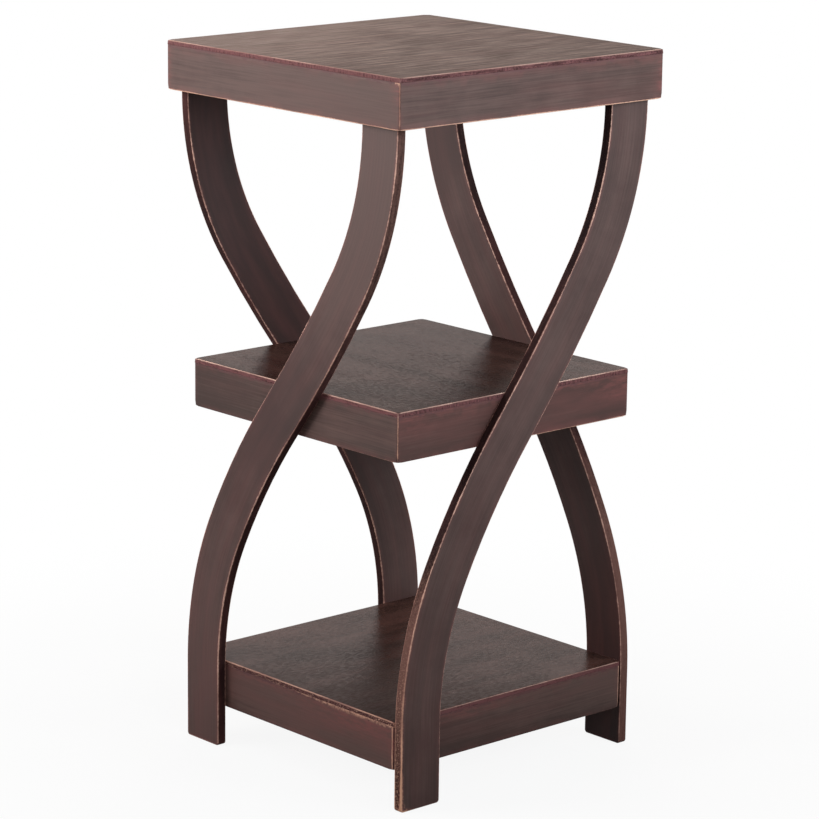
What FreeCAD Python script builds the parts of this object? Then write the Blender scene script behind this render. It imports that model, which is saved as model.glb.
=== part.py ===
import FreeCAD
import Part

import math
import os

from FreeCAD import Vector

# Side table with three square tiers, carried by four flat S-shaped legs.
# Millimetres. +Z is up, and the origin is on the floor under the middle of the table.
# The front is -Y. Quarter turns about Z take the front to the right (+X), the back and the left.

# Tiers
LOWER_TIER_WIDTH = 268.0  # middle and bottom tier, square in plan
TIER_HEIGHT = 42.5  # panel and apron together, the same on every tier
PANEL_THICKNESS = 4.0
APRON_THICKNESS = 7.0
TIER_CORNER_RADIUS = 2.0  # upright corners of every tier
FLOOR_GAP = 35.0  # floor to the underside of the bottom tier
LOWER_OPENING = 223.5  # top of the bottom tier to the underside of the middle tier
UPPER_OPENING = 236.0  # top of the middle tier to the underside of the top tier

# Legs
LEG_WIDTH = 43.5
LEG_THICKNESS = 9.0
LEG_HEAD_SETBACK = 3.0  # outer edge of a leg's head to the inside of the next apron
LEG_BEND_DROP = 7.5  # the lower bend starts this far under the top of the bottom tier
FOOT_CORNER_RADIUS = 2.5
CROSSING_RISE_SHARE = 0.48  # height of the point where the S changes sides, as a share of its rise
CROSSING_RUN_SHARE = 0.447  # the same point as a share of its run to the side
LEAN_SHARE = 1.75  # slope at that point, as a share of the mean slope of the S

# Corner blocks
BLOCK_SIDE = 18.0
BLOCK_RISE = 8.5  # lower edge of the aprons to the underside of a block

# Leg screws
SCREW_RADIUS = 1.7
SCREW_CLEARANCE = 0.3  # round the shank, in the boards
SCREW_COVER = 2.5  # board left over the point of a screw
SCREW_TIP_ROOM = 0.5  # hole ahead of the point
SCREW_TIP_LENGTH = 3.0
SCREW_HEAD_RADIUS = 3.4
SCREW_HEAD_HEIGHT = 2.0
SCREW_RECESS_LENGTH = 3.6
SCREW_RECESS_WIDTH = 0.8
SCREW_RECESS_DEPTH = 1.1
SCREW_MARGIN = 6.0  # from the ends of a corner block
CUT_OVERRUN = 1.0

# Worked out from the sizes above
APRON_HEIGHT = TIER_HEIGHT - PANEL_THICKNESS
BLOCK_HEIGHT = APRON_HEIGHT - BLOCK_RISE
LOWER_HALF = LOWER_TIER_WIDTH / 2
LOWER_INSIDE = LOWER_HALF - APRON_THICKNESS
LEG_OUTSIDE = LOWER_HALF + LEG_THICKNESS
TOP_INSIDE = LEG_OUTSIDE  # the top tier's apron wraps round the outside of the legs
TOP_HALF = TOP_INSIDE + APRON_THICKNESS
BOTTOM_Z = FLOOR_GAP
MIDDLE_Z = BOTTOM_Z + TIER_HEIGHT + LOWER_OPENING
TOP_Z = MIDDLE_Z + TIER_HEIGHT + UPPER_OPENING
SHORT_SCREW_LENGTH = APRON_THICKNESS + LEG_THICKNESS - SCREW_COVER
LONG_SCREW_LENGTH = BLOCK_SIDE + SHORT_SCREW_LENGTH  # through a corner block first
FOOT_X = LEG_WIDTH / 2 - LOWER_HALF
HEAD_X = TOP_INSIDE - LEG_HEAD_SETBACK - LEG_WIDTH / 2

UP = Vector(0, 0, 1)
SIDES = ("front", "right", "back", "left")
CORNERS = ("front_right", "back_right", "back_left", "front_left")


def turned(shape, quarters):
    """A copy of a front piece, turned to another side of the table."""
    copy = shape.copy()
    copy.rotate(Vector(0, 0, 0), UP, 90 * quarters)
    return copy


def rounded_column(half, base, height):
    """Square column with rounded upright corners."""
    column = Part.makeBox(2 * half, 2 * half, height, Vector(-half, -half, base))
    upright = [edge for edge in column.Edges if edge.BoundBox.ZLength > height / 2]
    return column.makeFillet(TIER_CORNER_RADIUS, upright)


def panel(half, base):
    """Thin board that lies flush on the four aprons of a tier."""
    return rounded_column(half, base + APRON_HEIGHT, PANEL_THICKNESS)


def apron(half, base):
    """Front apron board, mitred at both ends."""
    inside = half - APRON_THICKNESS
    outline = [(-half, -half), (half, -half), (inside, -inside), (-inside, -inside), (-half, -half)]
    face = Part.Face(Part.makePolygon([Vector(x, y, base) for x, y in outline]))
    board = face.extrude(UP * APRON_HEIGHT)
    return board.common(rounded_column(half, base, APRON_HEIGHT))


def corner_block(side_face, front_face, base):
    """Block in the front right corner of a tier, under its panel."""
    corner = Vector(side_face - BLOCK_SIDE, front_face, base + BLOCK_RISE)
    return Part.makeBox(BLOCK_SIDE, BLOCK_SIDE, BLOCK_HEIGHT, corner)


def joined_arcs(start, start_way, end, end_way):
    """Where two arcs meet that leave start and reach end in the given ways, and their way there."""
    chord = end - start
    bend = 2 * (1 - start_way.dot(end_way))
    along = chord.dot(start_way + end_way)
    reach = (math.sqrt(along**2 + bend * chord.dot(chord)) - along) / bend
    leaving = start + start_way * reach
    arriving = end - end_way * reach
    return (leaving + arriving) * 0.5, (arriving - leaving).normalize()


def leg_stations():
    """Points up the middle of the front leg, from foot to head, with the leg's way at each."""
    foot = Vector(FOOT_X, -LEG_OUTSIDE, 0)
    bend = Vector(FOOT_X, -LEG_OUTSIDE, BOTTOM_Z + TIER_HEIGHT - LEG_BEND_DROP)
    straight = Vector(HEAD_X, -LEG_OUTSIDE, TOP_Z)
    head = Vector(HEAD_X, -LEG_OUTSIDE, TOP_Z + APRON_HEIGHT)
    run = straight.x - bend.x
    rise = straight.z - bend.z
    crossing = bend + Vector(run * CROSSING_RUN_SHARE, 0, rise * CROSSING_RISE_SHARE)
    lean = Vector(run * LEAN_SHARE, 0, rise).normalize()
    lower_joint = joined_arcs(bend, UP, crossing, lean)
    upper_joint = joined_arcs(crossing, lean, straight, UP)
    return [(foot, UP), (bend, UP), lower_joint, (crossing, lean), upper_joint, (straight, UP), (head, UP)]


def arc_edge(start, way, end):
    """Arc that leaves start in the given way and reaches end."""
    chord = end - start
    half_way = (way + Vector(chord).normalize()).normalize()
    middle = start + half_way * (chord.Length / 2 / half_way.dot(way))
    return Part.Arc(start, middle, end).toShape()


def leg_line(offset):
    """Edges of a line up the front leg, at an offset to the right of its middle."""
    stations = [(point + Vector(way.z, 0, -way.x) * offset, way) for point, way in leg_stations()]
    edges = []
    for (start, way), (end, end_way) in zip(stations, stations[1:]):
        edges.append(Part.makeLine(start, end) if way == end_way else arc_edge(start, way, end))
    return edges


def leg_middle_at(height):
    """Place across the front of the leg's middle line at a height."""
    level = Part.makeLine(Vector(-TOP_HALF, -LEG_OUTSIDE, height), Vector(TOP_HALF, -LEG_OUTSIDE, height))
    return Part.Wire(leg_line(0)).distToShape(level)[1][0][0].x


def leg_blank():
    """Front leg without its screw holes."""
    right = leg_line(LEG_WIDTH / 2)
    left = leg_line(-LEG_WIDTH / 2)
    foot = Part.makeLine(left[0].Vertexes[0].Point, right[0].Vertexes[0].Point)
    head = Part.makeLine(left[-1].Vertexes[-1].Point, right[-1].Vertexes[-1].Point)
    outline = Part.Wire(Part.sortEdges(right + left + [foot, head])[0])
    board = Part.Face(outline).extrude(Vector(0, LEG_THICKNESS, 0))
    floor_edges = [edge for edge in board.Edges if edge.BoundBox.ZMax < BOTTOM_Z]
    corners = [edge for edge in floor_edges if edge.BoundBox.XLength < LEG_WIDTH / 2]
    return board.makeFillet(FOOT_CORNER_RADIUS, corners)


def screw_heights(base):
    """Heights of the two leg screws on each side of a tier."""
    return (base + BLOCK_RISE + SCREW_MARGIN, base + APRON_HEIGHT - SCREW_MARGIN)


def screw_hole(x, seat, z, length):
    """Hole for one front leg screw, from the face under its head to past its point."""
    radius = SCREW_RADIUS + SCREW_CLEARANCE
    depth = CUT_OVERRUN + length + SCREW_TIP_ROOM
    return Part.makeCylinder(radius, depth, Vector(x, seat + CUT_OVERRUN, z), Vector(0, -1, 0))


def screw(x, seat, z, length):
    """Front leg screw with a domed, cross-recessed head inside the tier, pointing out."""
    dome_radius = (SCREW_HEAD_RADIUS**2 + SCREW_HEAD_HEIGHT**2) / (2 * SCREW_HEAD_HEIGHT)
    half_angle = math.atan2(SCREW_HEAD_RADIUS, dome_radius - SCREW_HEAD_HEIGHT) / 2
    dome_drop = dome_radius * (1 - math.cos(half_angle))
    crown = Vector(0, SCREW_HEAD_HEIGHT, 0)
    shoulder = Vector(dome_radius * math.sin(half_angle), SCREW_HEAD_HEIGHT - dome_drop, 0)
    rim = Vector(SCREW_HEAD_RADIUS, 0, 0)
    shank = [
        rim,
        Vector(SCREW_RADIUS, 0, 0),
        Vector(SCREW_RADIUS, SCREW_TIP_LENGTH - length, 0),
        Vector(0, -length, 0),
        crown,
    ]
    profile = Part.Wire([Part.Arc(crown, shoulder, rim).toShape()] + Part.makePolygon(shank).Edges)
    body = Part.Face(profile).revolve(Vector(0, 0, 0), Vector(0, 1, 0), 360)
    recess_base = SCREW_HEAD_HEIGHT - SCREW_RECESS_DEPTH
    arms = ((SCREW_RECESS_LENGTH, SCREW_RECESS_WIDTH), (SCREW_RECESS_WIDTH, SCREW_RECESS_LENGTH))
    for width, height in arms:
        corner = Vector(-width / 2, recess_base, -height / 2)
        body = body.cut(Part.makeBox(width, SCREW_RECESS_DEPTH + CUT_OVERRUN, height, corner))
    body.translate(Vector(x, seat, z))
    return body


def all_round(shapes):
    """The front shapes and their copies on the other three sides, as one group."""
    return Part.Compound([turned(shape, quarters) for quarters in range(len(SIDES)) for shape in shapes])


def save(name, shape):
    shape.exportStep(os.path.join("parts", name + ".step"))


def save_tier(name, half, base, block_faces, screw_set):
    """Panel, aprons, corner blocks and leg screws of one tier. Gives back its holes for the front leg."""
    holes = [screw_hole(*place) for place in screw_set]
    front_apron = apron(half, base).cut(Part.Compound(holes))
    front_block = corner_block(*block_faces, base).cut(all_round(holes))
    save(name + "_panel", panel(half, base))
    for quarters, (side, corner) in enumerate(zip(SIDES, CORNERS)):
        save(name + "_apron_" + side, turned(front_apron, quarters))
        save(name + "_block_" + corner, turned(front_block, quarters))
    save(name + "_leg_screws", all_round([screw(*place) for place in screw_set]))
    return holes


os.makedirs("parts", exist_ok=True)

lower_corner = (LOWER_INSIDE, -LOWER_INSIDE)
top_corner = (TOP_INSIDE, -LOWER_HALF)

# Each screw by its place across the front, the face under its head, its height and its length.
foot_x = BLOCK_SIDE / 2 - LOWER_INSIDE
head_x = TOP_INSIDE - BLOCK_SIDE / 2
foot_seat = BLOCK_SIDE - LOWER_INSIDE
head_seat = BLOCK_SIDE - LOWER_HALF
crossing_seat = -LOWER_INSIDE
foot_screws = [(foot_x, foot_seat, z, LONG_SCREW_LENGTH) for z in screw_heights(BOTTOM_Z)]
middle_heights = screw_heights(MIDDLE_Z)
crossing_screws = [(leg_middle_at(z), crossing_seat, z, SHORT_SCREW_LENGTH) for z in middle_heights]
head_screws = [(head_x, head_seat, z, LONG_SCREW_LENGTH) for z in screw_heights(TOP_Z)]

leg_holes = save_tier("bottom", LOWER_HALF, BOTTOM_Z, lower_corner, foot_screws)
leg_holes += save_tier("middle", LOWER_HALF, MIDDLE_Z, lower_corner, crossing_screws)
leg_holes += save_tier("top", TOP_HALF, TOP_Z, top_corner, head_screws)

front_leg = leg_blank().cut(Part.Compound(leg_holes))
for quarters, side in enumerate(SIDES):
    save("leg_" + side, turned(front_leg, quarters))
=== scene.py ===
import math

import bmesh
import bpy
from bpy.props import FloatProperty, FloatVectorProperty, PointerProperty
from mathutils import Matrix, Vector
from mathutils.kdtree import KDTree


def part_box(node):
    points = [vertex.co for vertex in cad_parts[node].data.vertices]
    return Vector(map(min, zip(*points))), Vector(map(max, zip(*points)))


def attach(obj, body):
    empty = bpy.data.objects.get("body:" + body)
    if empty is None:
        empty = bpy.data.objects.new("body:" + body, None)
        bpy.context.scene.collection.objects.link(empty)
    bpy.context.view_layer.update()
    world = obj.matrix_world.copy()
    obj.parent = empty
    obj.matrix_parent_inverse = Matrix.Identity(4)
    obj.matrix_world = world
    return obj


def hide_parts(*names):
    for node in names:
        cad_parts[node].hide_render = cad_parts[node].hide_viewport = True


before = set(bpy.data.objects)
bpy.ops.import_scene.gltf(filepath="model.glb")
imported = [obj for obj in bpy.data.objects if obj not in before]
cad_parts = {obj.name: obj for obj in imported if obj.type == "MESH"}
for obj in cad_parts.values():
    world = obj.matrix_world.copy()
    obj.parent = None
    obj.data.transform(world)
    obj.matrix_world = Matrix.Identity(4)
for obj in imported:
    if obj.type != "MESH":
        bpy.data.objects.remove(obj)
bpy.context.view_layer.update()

bl_info = {
    "name": "Tiered side table",
    "version": (1, 0, 0),
    "blender": (4, 5, 0),
    "location": "3D View > Sidebar > Side Table",
    "description": "Models and finishes a three-tier side table on four curved legs around its CAD frame",
    "category": "Object",
}

TIERS = ("bottom", "middle", "top")
SIDES = ("front", "right", "back", "left")
CORNERS = ("front_right", "back_right", "back_left", "front_left")
UP = Vector((0, 0, 1))
WIDTH_WAY = Vector((1, 0, 0))
DEPTH_WAY = Vector((0, 1, 0))
MIDDLE = Vector((0, 0, 0))
MILLIMETRE = 0.001
QUARTER_TURN = math.radians(90)
# Points that are nearer than this count as one.
TOUCHING = 1e-6
# Steps of the roundings: the tiers' upright corners, the rims, the seams and the legs' long edges.
CORNER_SEGMENTS = 6
RIM_SEGMENTS = 3
SEAM_SEGMENTS = 2
ARRIS_SEGMENTS = 4
ROUND_PROFILE = 0.5
# Edges sharper than this stay sharp.
SMOOTH_ANGLE = math.radians(50)
# Depth of the band under a panel that is rubbed, in millimetres.
RUBBED_BAND = 20.0
IMAGE_SIZE = 819
SENSOR_WIDTH = 36.0

# Places that hands and cloths have rubbed most: the board, the middle, the reach each way,
# how far it is worn to the bare wood and how far to the red coat.
RUBBED_PLACES = (
    ("top_apron_front", (0.150, -0.150, 0.614), (0.014, 0.020, 0.026), 0.6, 1.0),
    ("top_apron_front", (-0.150, -0.150, 0.600), (0.010, 0.020, 0.060), 0.0, 0.7),
    ("top_apron_right", (0.150, 0.035, 0.616), (0.020, 0.050, 0.016), 0.0, 0.9),
    ("top_apron_right", (0.150, 0.150, 0.600), (0.020, 0.012, 0.060), 0.0, 0.8),
    ("middle_apron_right", (0.134, 0.134, 0.336), (0.020, 0.070, 0.030), 0.0, 0.7),
    ("middle_apron_right", (0.134, -0.134, 0.334), (0.020, 0.060, 0.016), 0.0, 0.4),
    ("bottom_panel", (0.134, -0.134, 0.076), (0.120, 0.030, 0.030), 0.7, 0.3),
    ("bottom_panel", (-0.100, -0.134, 0.076), (0.080, 0.030, 0.030), 0.6, 0.2),
    ("bottom_apron_front", (0.090, -0.134, 0.070), (0.110, 0.030, 0.020), 0.7, 0.8),
    ("bottom_apron_front", (-0.090, -0.134, 0.074), (0.060, 0.030, 0.012), 0.3, 0.5),
    ("bottom_apron_front", (0.134, -0.134, 0.060), (0.010, 0.020, 0.040), 0.5, 0.8),
    ("bottom_apron_right", (0.134, -0.060, 0.072), (0.030, 0.060, 0.012), 0.0, 0.7),
    ("leg_front", (0.100, -0.139, 0.560), (0.200, 0.050, 0.330), 0.0, 0.24),
    ("leg_right", (0.143, -0.134, 0.060), (0.030, 0.016, 0.190), 0.8, 0.0),
    ("leg_right", (0.143, -0.134, 0.000), (0.030, 0.020, 0.090), 1.5, 0.0),
    ("leg_right", (0.139, -0.134, 0.140), (0.050, 0.050, 0.210), 0.0, 0.50),
    ("leg_right", (0.139, -0.134, 0.180), (0.040, 0.060, 0.200), 0.35, 0.0),
    ("leg_back", (0.134, 0.139, 0.140), (0.100, 0.050, 0.450), 0.0, 0.46),
)

# How much paler than the rest each board is at its start, middle and end, and how much of the red coat shows
# through its stain at its start and end. A leg runs from its foot up, an apron from its left end seen from
# outside, and a panel by its own tone way.
# The paleness values also hold painted shade, such as the darker foot of the back leg under the bottom tier.
BOARD_TONES_AND_SHADES = {
    "top_panel": (0.24, -0.03, -0.04, 0.00, 0.00),
    "top_apron_front": (0.05, 0.11, 0.38, 0.03, 0.00),
    "top_apron_right": (0.02, 0.00, -0.03, 0.05, 0.07),
    "middle_panel": (0.04, 0.02, -0.13, 0.00, 0.00),
    "middle_apron_front": (-0.10, 0.00, 0.02, 0.00, 0.00),
    "middle_apron_right": (-0.08, -0.10, -0.20, 0.16, 0.20),
    "middle_apron_back": (0.02, 0.02, 0.02, 0.05, 0.05),
    "bottom_panel": (0.02, 0.01, -0.26, 0.00, 0.00),
    "bottom_apron_front": (0.18, 0.28, 0.40, 0.08, 0.26),
    "bottom_apron_right": (-0.05, 0.05, 0.14, 0.07, 0.04),
    "bottom_apron_left": (0.00, 0.00, 0.00, 0.06, 0.06),
    "leg_front": (0.34, -0.24, 0.60, 0.17, -0.04),
    "leg_right": (-0.08, 0.02, -0.08, 0.06, -0.01),
    "leg_left": (0.28, -0.34, -0.44, 0.06, 0.14),
    "leg_back": (-0.56, 0.18, -0.36, 0.10, 0.06),
}
PLAIN_TONE = 0.0, 0.0, 0.0, 0.03, 0.03
# Boards whose stain is kept on their lower or long edges, and how far, in metres, at their start and end.
KEPT_EDGES = {
    "middle_apron_front": (0.0016, 0.0005),
    "middle_apron_right": (0.0007, 0.0000),
    "bottom_apron_front": (0.0015, 0.0017),
    "bottom_apron_right": (0.0018, 0.0006),
    "leg_front": (0.0004, 0.0007),
    "leg_right": (0.0006, 0.0006),
    "leg_back": (0.0008, 0.0006),
    "leg_left": (0.0005, 0.0006),
}
WORN_EDGE = 0.0, 0.0


def length(name, description, default):
    """Property for a length in metres."""
    traits = {"default": default, "min": 0.0, "unit": "LENGTH", "precision": 5}
    return FloatProperty(name=name, description=description, **traits)


def share(name, description, default):
    """Property for a plain ratio."""
    return FloatProperty(name=name, description=description, default=default, min=0.0)


def angle(name, description, degrees):
    """Property for an angle, given in degrees."""
    return FloatProperty(name=name, description=description, default=math.radians(degrees), unit="ROTATION")


def colour(name, description, default):
    """Property for a colour."""
    traits = {"default": default, "subtype": "COLOR", "min": 0.0, "max": 1.0}
    return FloatVectorProperty(name=name, description=description, **traits)


class TableShape(bpy.types.PropertyGroup):
    """Sizes of the boards that the CAD boxes don't give."""

    corner_radius: length("Corner radius", "Rounding of the upright corners of the upper tiers", 0.001)
    foot_corner_radius: length("Foot corner radius", "Rounding of the bottom tier's corners", 0.0028)
    rim_radius: length("Rim radius", "Rounding of the panels' upper rim and the aprons' lower edge", 0.0007)
    tip_wear: length("Tip wear", "How far the tips of the corners are sanded back", 0.0003)
    tip_reach: length("Tip reach", "How far that sanding spreads along the edges", 0.0040)
    seam_radius: length("Seam radius", "Rounding on both sides of the joint between panel and apron", 0.0003)
    leg_width: length("Leg width", "Width of a leg across its face", 0.0435)
    leg_arris: length("Leg arris", "Rounding of a leg's long edges", 0.0010)
    foot_radius: length("Foot radius", "Rounding of a foot's lower corners", 0.0030)
    bend_drop: length("Bend drop", "How far under the bottom panel's top a leg starts to bend", 0.0075)
    crossing_rise: share("Crossing rise", "Height where a leg's curve changes sides, over its rise", 0.48)
    crossing_run: share("Crossing run", "Place where a leg's curve changes sides, over its run", 0.447)
    lean: share("Lean", "Slope where the curve changes sides, as a share of its mean slope", 1.75)


class TableFinish(bpy.types.PropertyGroup):
    """Colours of the rubbed stain and what shows through it."""

    apron_dark: colour("Dark apron", "Darkest streaks of the stain on the aprons", (0.043, 0.024, 0.020))
    apron_light: colour("Light apron", "Lightest streaks of the stain on the aprons", (0.088, 0.051, 0.0435))
    leg_dark: colour("Dark leg", "Darkest streaks of the stain on the legs", (0.048, 0.026, 0.023))
    leg_light: colour("Light leg", "Lightest streaks of the stain on the legs", (0.087, 0.051, 0.045))
    top_dark: colour("Dark top", "Darkest clouds on the top panel", (0.060, 0.036, 0.028))
    top_light: colour("Light top", "Lightest clouds on the top panel", (0.148, 0.095, 0.075))
    shelf_dark: colour("Dark shelf", "Darkest clouds on the lower panels", (0.045, 0.0195, 0.0145))
    shelf_light: colour("Light shelf", "Lightest clouds on the lower panels", (0.125, 0.060, 0.047))
    undercoat: colour("Undercoat", "Red coat that shows where the stain is thin", (0.165, 0.055, 0.050))
    edge_pits: colour("Edge pits", "Stain left in the pits of the panel edges", (0.032, 0.011, 0.011))
    edge_coat: colour("Edge coat", "Red coat that stands out on the panel edges", (0.136, 0.052, 0.053))
    seam_coat: colour("Seam coat", "Dark red of the ragged strip under a panel", (0.088, 0.034, 0.035))
    side_pits: colour("Side pits", "Dark stain on the narrow sides of the legs", (0.013, 0.006, 0.006))
    side_coat: colour("Side coat", "Rubbed stain on the narrow sides of the legs", (0.155, 0.076, 0.061))
    bare_wood: colour("Bare wood", "Wood on edges that are worn through", (0.650, 0.385, 0.300))
    bare_apron: colour("Bare apron edge", "Wood on the worn edges of the aprons", (0.680, 0.390, 0.275))
    rubbed_wood: colour("Rubbed wood", "Wood on the edges that are rubbed most", (0.700, 0.365, 0.240))
    bare_rim: colour("Bare rim", "Wood on the panels' rims, paler from polish", (0.660, 0.425, 0.340))
    block_wood: colour("Block wood", "Unseen corner blocks under the tiers", (0.300, 0.190, 0.110))
    screw_steel: colour("Screw steel", "Plated screws under the tiers", (0.560, 0.550, 0.520))


class TableStage(bpy.types.PropertyGroup):
    """Camera, floor and the even light round the table."""

    azimuth: angle("Azimuth", "Turn of the camera round the table, from the front", 48.02)
    elevation: angle("Elevation", "Camera angle above the horizon", 13.408)
    roll: angle("Roll", "Turn of the camera about its own axis", 0.669)
    distance: length("Distance", "Camera to the upright through the table's middle", 3.083453)
    aim_side: length("Aim to the side", "Camera offset to its right", 0.002793)
    aim_height: length("Aim height", "Camera offset along its own upright", 0.293593)
    focal_pixels: share("Focal length", "Focal length in picture pixels", 3448.989)
    floor_colour: colour("Floor", "Pale studio floor", (0.90, 0.90, 0.90))
    floor_bounce: colour("Floor bounce", "Floor colour in the light that it throws back", (0.50, 0.50, 0.50))
    surround: share("Surround", "Strength of the even light from all sides", 0.29)


def settings(name):
    """One of the table's property groups."""
    return getattr(bpy.context.scene, "side_table_" + name)


# Modelling in edit mode


def start_block(name, low, high):
    """A cube primitive at its size and place, open for editing."""
    bpy.ops.object.select_all(action="DESELECT")
    bpy.ops.mesh.primitive_cube_add(size=1, location=(low + high) / 2, scale=high - low)
    return open_piece(name)


def open_piece(name):
    """Names the new primitive, puts its place in its mesh and opens it for editing."""
    piece = bpy.context.object
    piece.name = name
    piece.data.name = name
    bpy.ops.object.transform_apply(location=True, rotation=True, scale=True)
    bpy.ops.object.mode_set(mode="EDIT")
    bpy.ops.mesh.select_mode(type="EDGE")
    return piece


def round_edges(piece, radius, segments, wanted):
    """Rounds the edges whose two end points pass the test."""
    bpy.ops.mesh.select_all(action="DESELECT")
    mesh = bmesh.from_edit_mesh(piece.data)
    for edge in mesh.edges:
        edge.select_set(wanted(edge.verts[0].co, edge.verts[1].co))
    bmesh.update_edit_mesh(piece.data)
    bpy.ops.mesh.bevel(offset=radius, segments=segments, profile=ROUND_PROFILE, affect="EDGES")


def at_level(level):
    """Test for an edge that lies at one height."""
    return lambda a, b: abs(a.z - level) < TOUCHING and abs(b.z - level) < TOUCHING


def is_upright(a, b):
    """Test for an upright edge."""
    return abs(a.x - b.x) < TOUCHING and abs(a.y - b.y) < TOUCHING


def rounded_block(name, low, high, radius, rim, seam):
    """A block with rounded upright corners, and finer roundings at the heights of its rim and its seam."""
    shape = settings("shape")
    piece = start_block(name, low, high)
    round_edges(piece, radius, CORNER_SEGMENTS, is_upright)
    round_edges(piece, shape.rim_radius, RIM_SEGMENTS, at_level(rim))
    round_edges(piece, shape.seam_radius, SEAM_SEGMENTS, at_level(seam))
    return piece


def corner_radius(tier):
    """Rounding of a tier's upright corners."""
    shape = settings("shape")
    return shape.foot_corner_radius if tier == "bottom" else shape.corner_radius


def sand_tips(piece, high, level, reach):
    """Sands the four tips of a block's corners back, at its upper or lower level."""
    shape = settings("shape")
    up = 1 if level == high.z else -1
    for x, y in ((1, 1), (1, -1), (-1, 1), (-1, -1)):
        tip = Vector((x * high.x, y * high.y, level))
        bpy.ops.mesh.select_all(action="DESELECT")
        mesh = bmesh.from_edit_mesh(piece.data)
        for vertex in mesh.verts:
            vertex.select_set((vertex.co - tip).length < reach)
        mesh.select_flush_mode()
        bmesh.update_edit_mesh(piece.data)
        bpy.ops.transform.translate(
            value=Vector((-x, -y, -up)) * shape.tip_wear,
            use_proportional_edit=True,
            proportional_edit_falloff="SMOOTH",
            proportional_size=shape.tip_reach,
        )


def score(point, normal):
    """Cuts a line of edges round the whole piece, in a plane."""
    bpy.ops.mesh.select_all(action="SELECT")
    bpy.ops.mesh.bisect(plane_co=point, plane_no=normal)


def saw(point, normal):
    """Saws the piece through and keeps what lies behind the plane."""
    bpy.ops.mesh.select_all(action="SELECT")
    bpy.ops.mesh.bisect(plane_co=point, plane_no=normal, use_fill=True, clear_outer=True)


def close_piece():
    """Cleans the mesh up, turns its faces outwards and leaves edit mode."""
    bpy.ops.mesh.select_all(action="SELECT")
    bpy.ops.mesh.remove_doubles(threshold=TOUCHING)
    bpy.ops.mesh.normals_make_consistent(inside=False)
    bpy.ops.object.mode_set(mode="OBJECT")


def smooth(piece):
    """Smooth shading that leaves flat faces flat."""
    bpy.ops.object.select_all(action="DESELECT")
    piece.select_set(True)
    bpy.context.view_layer.objects.active = piece
    bpy.ops.object.shade_smooth_by_angle(angle=SMOOTH_ANGLE)
    bpy.ops.object.modifier_add(type="WEIGHTED_NORMAL")
    weighting = bpy.context.object.modifiers[-1]
    weighting.keep_sharp = True
    bpy.ops.object.modifier_apply(modifier=weighting.name)


def turned_copy(piece, name, quarters):
    """Copy with its own mesh, turned about the table's upright."""
    copy = piece.copy()
    copy.data = piece.data.copy()
    copy.name = name
    copy.data.name = name
    bpy.context.scene.collection.objects.link(copy)
    copy.data.transform(Matrix.Rotation(QUARTER_TURN * quarters, 4, "Z"))
    return copy


def hand_over(piece, node, slot, *materials):
    """Gives the piece its finish and lets it stand for its CAD node."""
    piece.data.materials.clear()
    for material in materials:
        piece.data.materials.append(material)
    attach(piece, "root")
    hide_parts(node)


# What the finishes read from a mesh


def write_values(piece, name, values):
    """Stores one number for each vertex."""
    layers = piece.data.attributes
    layer = layers.get(name) or layers.new(name, "FLOAT", "POINT")
    layer.data.foreach_set("value", values)


def write_wear(piece, node, distances):
    """Stores each vertex's distance in millimetres from the nearest worn edge, and how far it is rubbed."""
    write_values(piece, "arris", [distance / MILLIMETRE for distance in distances])
    rubbed = [rubbed_at(vertex.co, node) for vertex in piece.data.vertices]
    write_values(piece, "rub", [bare for bare, _ in rubbed])
    write_values(piece, "blush", [red for _, red in rubbed])


def rubbed_at(point, node):
    """How far a place on a board is rubbed to the bare wood and to the red coat."""
    worn = [0.0, 0.0]
    for board, middle, reach, *amounts in RUBBED_PLACES:
        if board == node:
            away = Vector([(point[k] - middle[k]) / reach[k] for k in range(3)])
            nearness = max(0.0, 1.0 - away.length)
            ease = nearness * nearness * (3 - 2 * nearness)
            worn = [max(before, amount * ease) for before, amount in zip(worn, amounts)]
    return worn


def edge_distance(*gaps):
    """Distance from the nearest edge: the second smallest distance from the faces that meet there."""
    return sorted(gaps)[1]


def parts_along(along):
    """Each place along a board as a part of its length, from 0 at the start to 1 at the end."""
    first = min(along)
    reach = max(along) - first
    return [(place - first) / reach for place in along]


def between(start, end, part):
    """Value that lies a part of the way from one to another."""
    return start + (end - start) * part


def write_tone(piece, node, along, shades=None):
    """Stores the paleness, less any painted shade, and redness of each vertex, by its place along the board.
    """
    start, middle, end, red_start, red_end = BOARD_TONES_AND_SHADES.get(node, PLAIN_TONE)
    tones = []
    reds = []
    for part in parts_along(along):
        halves = 2 * part
        tones.append(between(start, middle, halves) if halves < 1 else between(middle, end, halves - 1))
        reds.append(between(red_start, red_end, part))
    if shades:
        tones = [tone - shade for tone, shade in zip(tones, shades)]
    write_values(piece, "paleness", tones)
    write_values(piece, "redness", reds)


def kept_edge(node, along):
    """How much further from a worn edge each vertex counts, where the board's edges keep their stain."""
    start, end = KEPT_EDGES.get(node, WORN_EDGE)
    return [between(start, end, part) for part in parts_along(along)]


def lay_grain(piece, places, shift):
    """Maps each face by its places along, across and through the board in metres, the grain along U."""
    mesh = piece.data
    layer = mesh.uv_layers.get("grain") or mesh.uv_layers.new(name="grain")
    for face in mesh.polygons:
        corners = [places[vertex] for vertex in face.vertices]
        spans = [max(c[k] for c in corners) - min(c[k] for c in corners) for k in range(3)]
        across = 1 if spans[1] >= spans[2] else 2
        for loop, corner in zip(face.loop_indices, corners):
            layer.uv[loop].vector = (corner[0] + shift, corner[across] + shift)


# Nodes of the finishes

# Numbers of a colour mix's two inputs and of its result among a Mix node's sockets.
MIX_INPUTS = 6, 7
MIX_RESULT = 2
WHITE = 1.0, 1.0, 1.0, 1.0


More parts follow.
